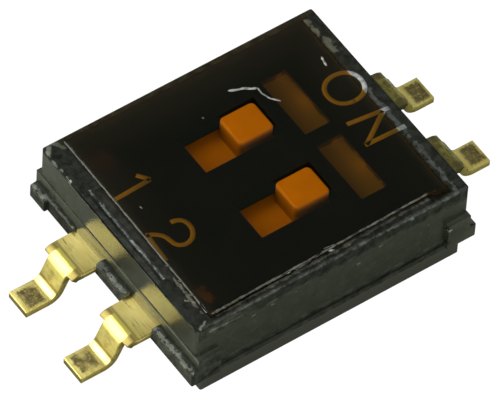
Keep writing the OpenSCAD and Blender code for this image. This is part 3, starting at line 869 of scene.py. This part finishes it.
for name, points in (
        ("O", oval(-0.44, 1.735, 0.248, 0.268, power=0.93, steps=32)),
        ("N_left", [(0.073, 1.41), (0.148, 2.03)]),
        ("N_slant", [(0.15, 1.94), (0.49, 1.43)]),
        ("N_right", [(0.485, 1.41), (0.51, 2.04)]),
        ("1_stem", [(-0.56, -1.86), (-0.585, -1.26)]),
        ("1_flag", [(-0.585, -1.26), (-0.74, -1.38)]),
        ("2_bow", [(0.139, -1.44), (0.146, -1.375), (0.175, -1.315), (0.225, -1.275), (0.29, -1.258),
                   (0.37, -1.264), (0.44, -1.295), (0.50, -1.35), (0.532, -1.42), (0.535, -1.49),
                   (0.505, -1.555), (0.455, -1.595), (0.39, -1.61), (0.32, -1.622), (0.26, -1.65),
                   (0.20, -1.71), (0.16, -1.775), (0.135, -1.83)]),
        ("2_foot", [(0.13, -1.815), (0.62, -1.845)])):
    path = [Vector((x, y, TOP + PRINT_LIFT)) for x, y in points]
    ribbon("print_" + name, path, [STROKE] * len(path), PRINT_RISE, print_ink)

# ---------------------------------------------------------------- terminals, sliders and springs

for node in ("terminal_front_1", "terminal_front_2", "terminal_rear_1", "terminal_rear_2"):
    bm = moulded_copy(node)
    round_edges(bm, STRIP_ROUND, lambda p: abs(p.y) > 2.0, corner=50)
    finish_piece(bm, node + "_strip", gold, "housing", node)


def round_knob(bm):
    """Swaps the slider's knob for one of the same size with round corners."""
    knob = [v.co.copy() for v in bm.verts if v.co.z > PLATE_TOP + 0.1]
    low = Vector([min(p[i] for p in knob) for i in range(3)])
    high = Vector([max(p[i] for p in knob) for i in range(3)])
    # the new knob starts a little inside the plate
    low.z = PLATE_TOP - 0.005
    bmesh.ops.bisect_plane(bm, geom=bm.verts[:] + bm.edges[:] + bm.faces[:],
                           plane_co=(0, 0, PLATE_TOP + 0.0002), plane_no=UP, clear_outer=True)
    bmesh.ops.holes_fill(bm, edges=[e for e in bm.edges if e.is_boundary])
    make_whole(bm)
    size = Matrix.Diagonal((*(high - low), 1))
    bmesh.ops.create_cube(bm, size=1, matrix=Matrix.Translation((low + high) / 2) @ size)
    round_edges(bm, KNOB_CORNER, lambda p: PLATE_TOP + 0.1 < p.z < high.z - 0.1, segments=6)
    round_edges(bm, KNOB_TOP_ROUND, lambda p: p.z > high.z - 0.01, segments=4, corner=40)


for number in POLES:
    slider, body = "slider_" + number, "switch_" + number
    bm = moulded_copy(slider)
    round_knob(bm)
    finish_piece(bm, slider + "_moulding", white, body, slider)
    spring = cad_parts["contact_" + number]
    spring.data.materials.clear()
    spring.data.materials.append(gold)

# ---------------------------------------------------------------- floor, light and camera

# how far the part's own shade reaches on the paper, in metres, and the paper's tones in it and out of it
SHADE_IN, SHADE_OUT = 3.2 * MM, 4.2 * MM
SHADED_PAPER, OPEN_PAPER, PAPER_GLOW = (0.33, 0.345, 0.28), (0.66, 0.69, 0.56), 1.05

bm = bmesh.new()
bmesh.ops.create_grid(bm, x_segments=1, y_segments=1, size=1.0)
floor_mesh = bpy.data.meshes.new("floor")
bm.to_mesh(floor_mesh)
bm.free()
floor = bpy.data.objects.new("floor", floor_mesh)
bpy.context.scene.collection.objects.link(floor)
paper = bpy.data.materials.new("white_paper")
paper.use_nodes = True
paper.node_tree.nodes.clear()
n = Nodes(paper.node_tree)
# the camera sees plain white, and the part mirrors paper that is greyer in the part's own shade
seen = n.add("ShaderNodeEmission")
seen.inputs["Strength"].default_value = PAPER_GLOW
mirrored = n.add("ShaderNodeBsdfDiffuse")
from_part = n.vector("LENGTH", n.add("ShaderNodeTexCoord").outputs["Object"], out="Value")
paper_tone = n.blend(n.span(from_part, SHADE_IN, SHADE_OUT), SHADED_PAPER, OPEN_PAPER)
n.link(paper_tone, mirrored.inputs["Color"])
camera_ray = n.add("ShaderNodeLightPath").outputs["Is Camera Ray"]
n.link(n.mix_shaders(camera_ray, mirrored, seen), n.add("ShaderNodeOutputMaterial").inputs["Surface"])
floor_mesh.materials.append(paper)

# the lamps face this height, in metres
LAMP_AIM = Vector((0, 0, 0.0007))


def lamp(name, direction, distance, wide, tall, radiance, along=UP):
    """A soft rectangular lamp of the given surface brightness, its tall side towards along."""
    light = bpy.data.lights.new(name, "AREA")
    light.shape = "RECTANGLE"
    light.size, light.size_y = wide, tall
    light.energy = radiance * math.pi * wide * tall
    holder = bpy.data.objects.new(name, light)
    bpy.context.scene.collection.objects.link(holder)
    way = Vector(direction).normalized()
    side = Vector(along).cross(way).normalized()
    turn = Matrix((side, way.cross(side), way)).transposed().to_4x4()
    holder.matrix_world = Matrix.Translation(way * distance + LAMP_AIM) @ turn


lamp("key", (-0.481, -0.510, 0.714), distance=0.12, wide=0.07, tall=0.125, radiance=4.0,
     along=(0, 0.81, 0.58))
lamp("low", (-0.481, -0.840, 0.260), distance=0.12, wide=0.07, tall=0.055, radiance=1.9)
lamp("fill", (0.80, -0.22, 0.55), distance=0.14, wide=0.08, tall=0.08, radiance=3.0)

world = bpy.data.worlds.new("studio")
bpy.context.scene.world = world
world.use_nodes = True
background = world.node_tree.nodes["Background"]
background.inputs["Color"].default_value = (0.97, 1.0, 0.93, 1)
background.inputs["Strength"].default_value = 0.36

# the camera: where it stands, as azimuth, elevation, roll and distance, what it aims at in
# millimetres, its focal length and its width
AZIMUTH, ELEVATION, ROLL = math.radians(51.9013), math.radians(52.3491), math.radians(3.9450)
DISTANCE, AIM_X, AIM_Y, AIM_Z = 105.524, -0.0358, 0.0928, 0.5
FOCAL, SENSOR = 579.77568, 36

back = Vector((math.sin(AZIMUTH) * math.cos(ELEVATION), -math.cos(AZIMUTH) * math.cos(ELEVATION),
               math.sin(ELEVATION)))
right = (-back).cross(UP).normalized()
above = right.cross(-back)
right_rolled = right * math.cos(ROLL) + above * math.sin(ROLL)
up_rolled = -right * math.sin(ROLL) + above * math.cos(ROLL)
eye = (UP * AIM_Z + right_rolled * AIM_X + up_rolled * AIM_Y + back * DISTANCE) * MM
lens = bpy.data.cameras.new("camera")
lens.lens, lens.sensor_width = FOCAL, SENSOR
lens.clip_start, lens.clip_end = 0.01, 5.0
camera = bpy.data.objects.new("camera", lens)
bpy.context.scene.collection.objects.link(camera)
turn = Matrix((right_rolled, up_rolled, back)).transposed().to_4x4()
camera.matrix_world = Matrix.Translation(eye) @ turn
bpy.context.scene.camera = camera
bpy.context.scene.view_settings.view_transform = "Standard"
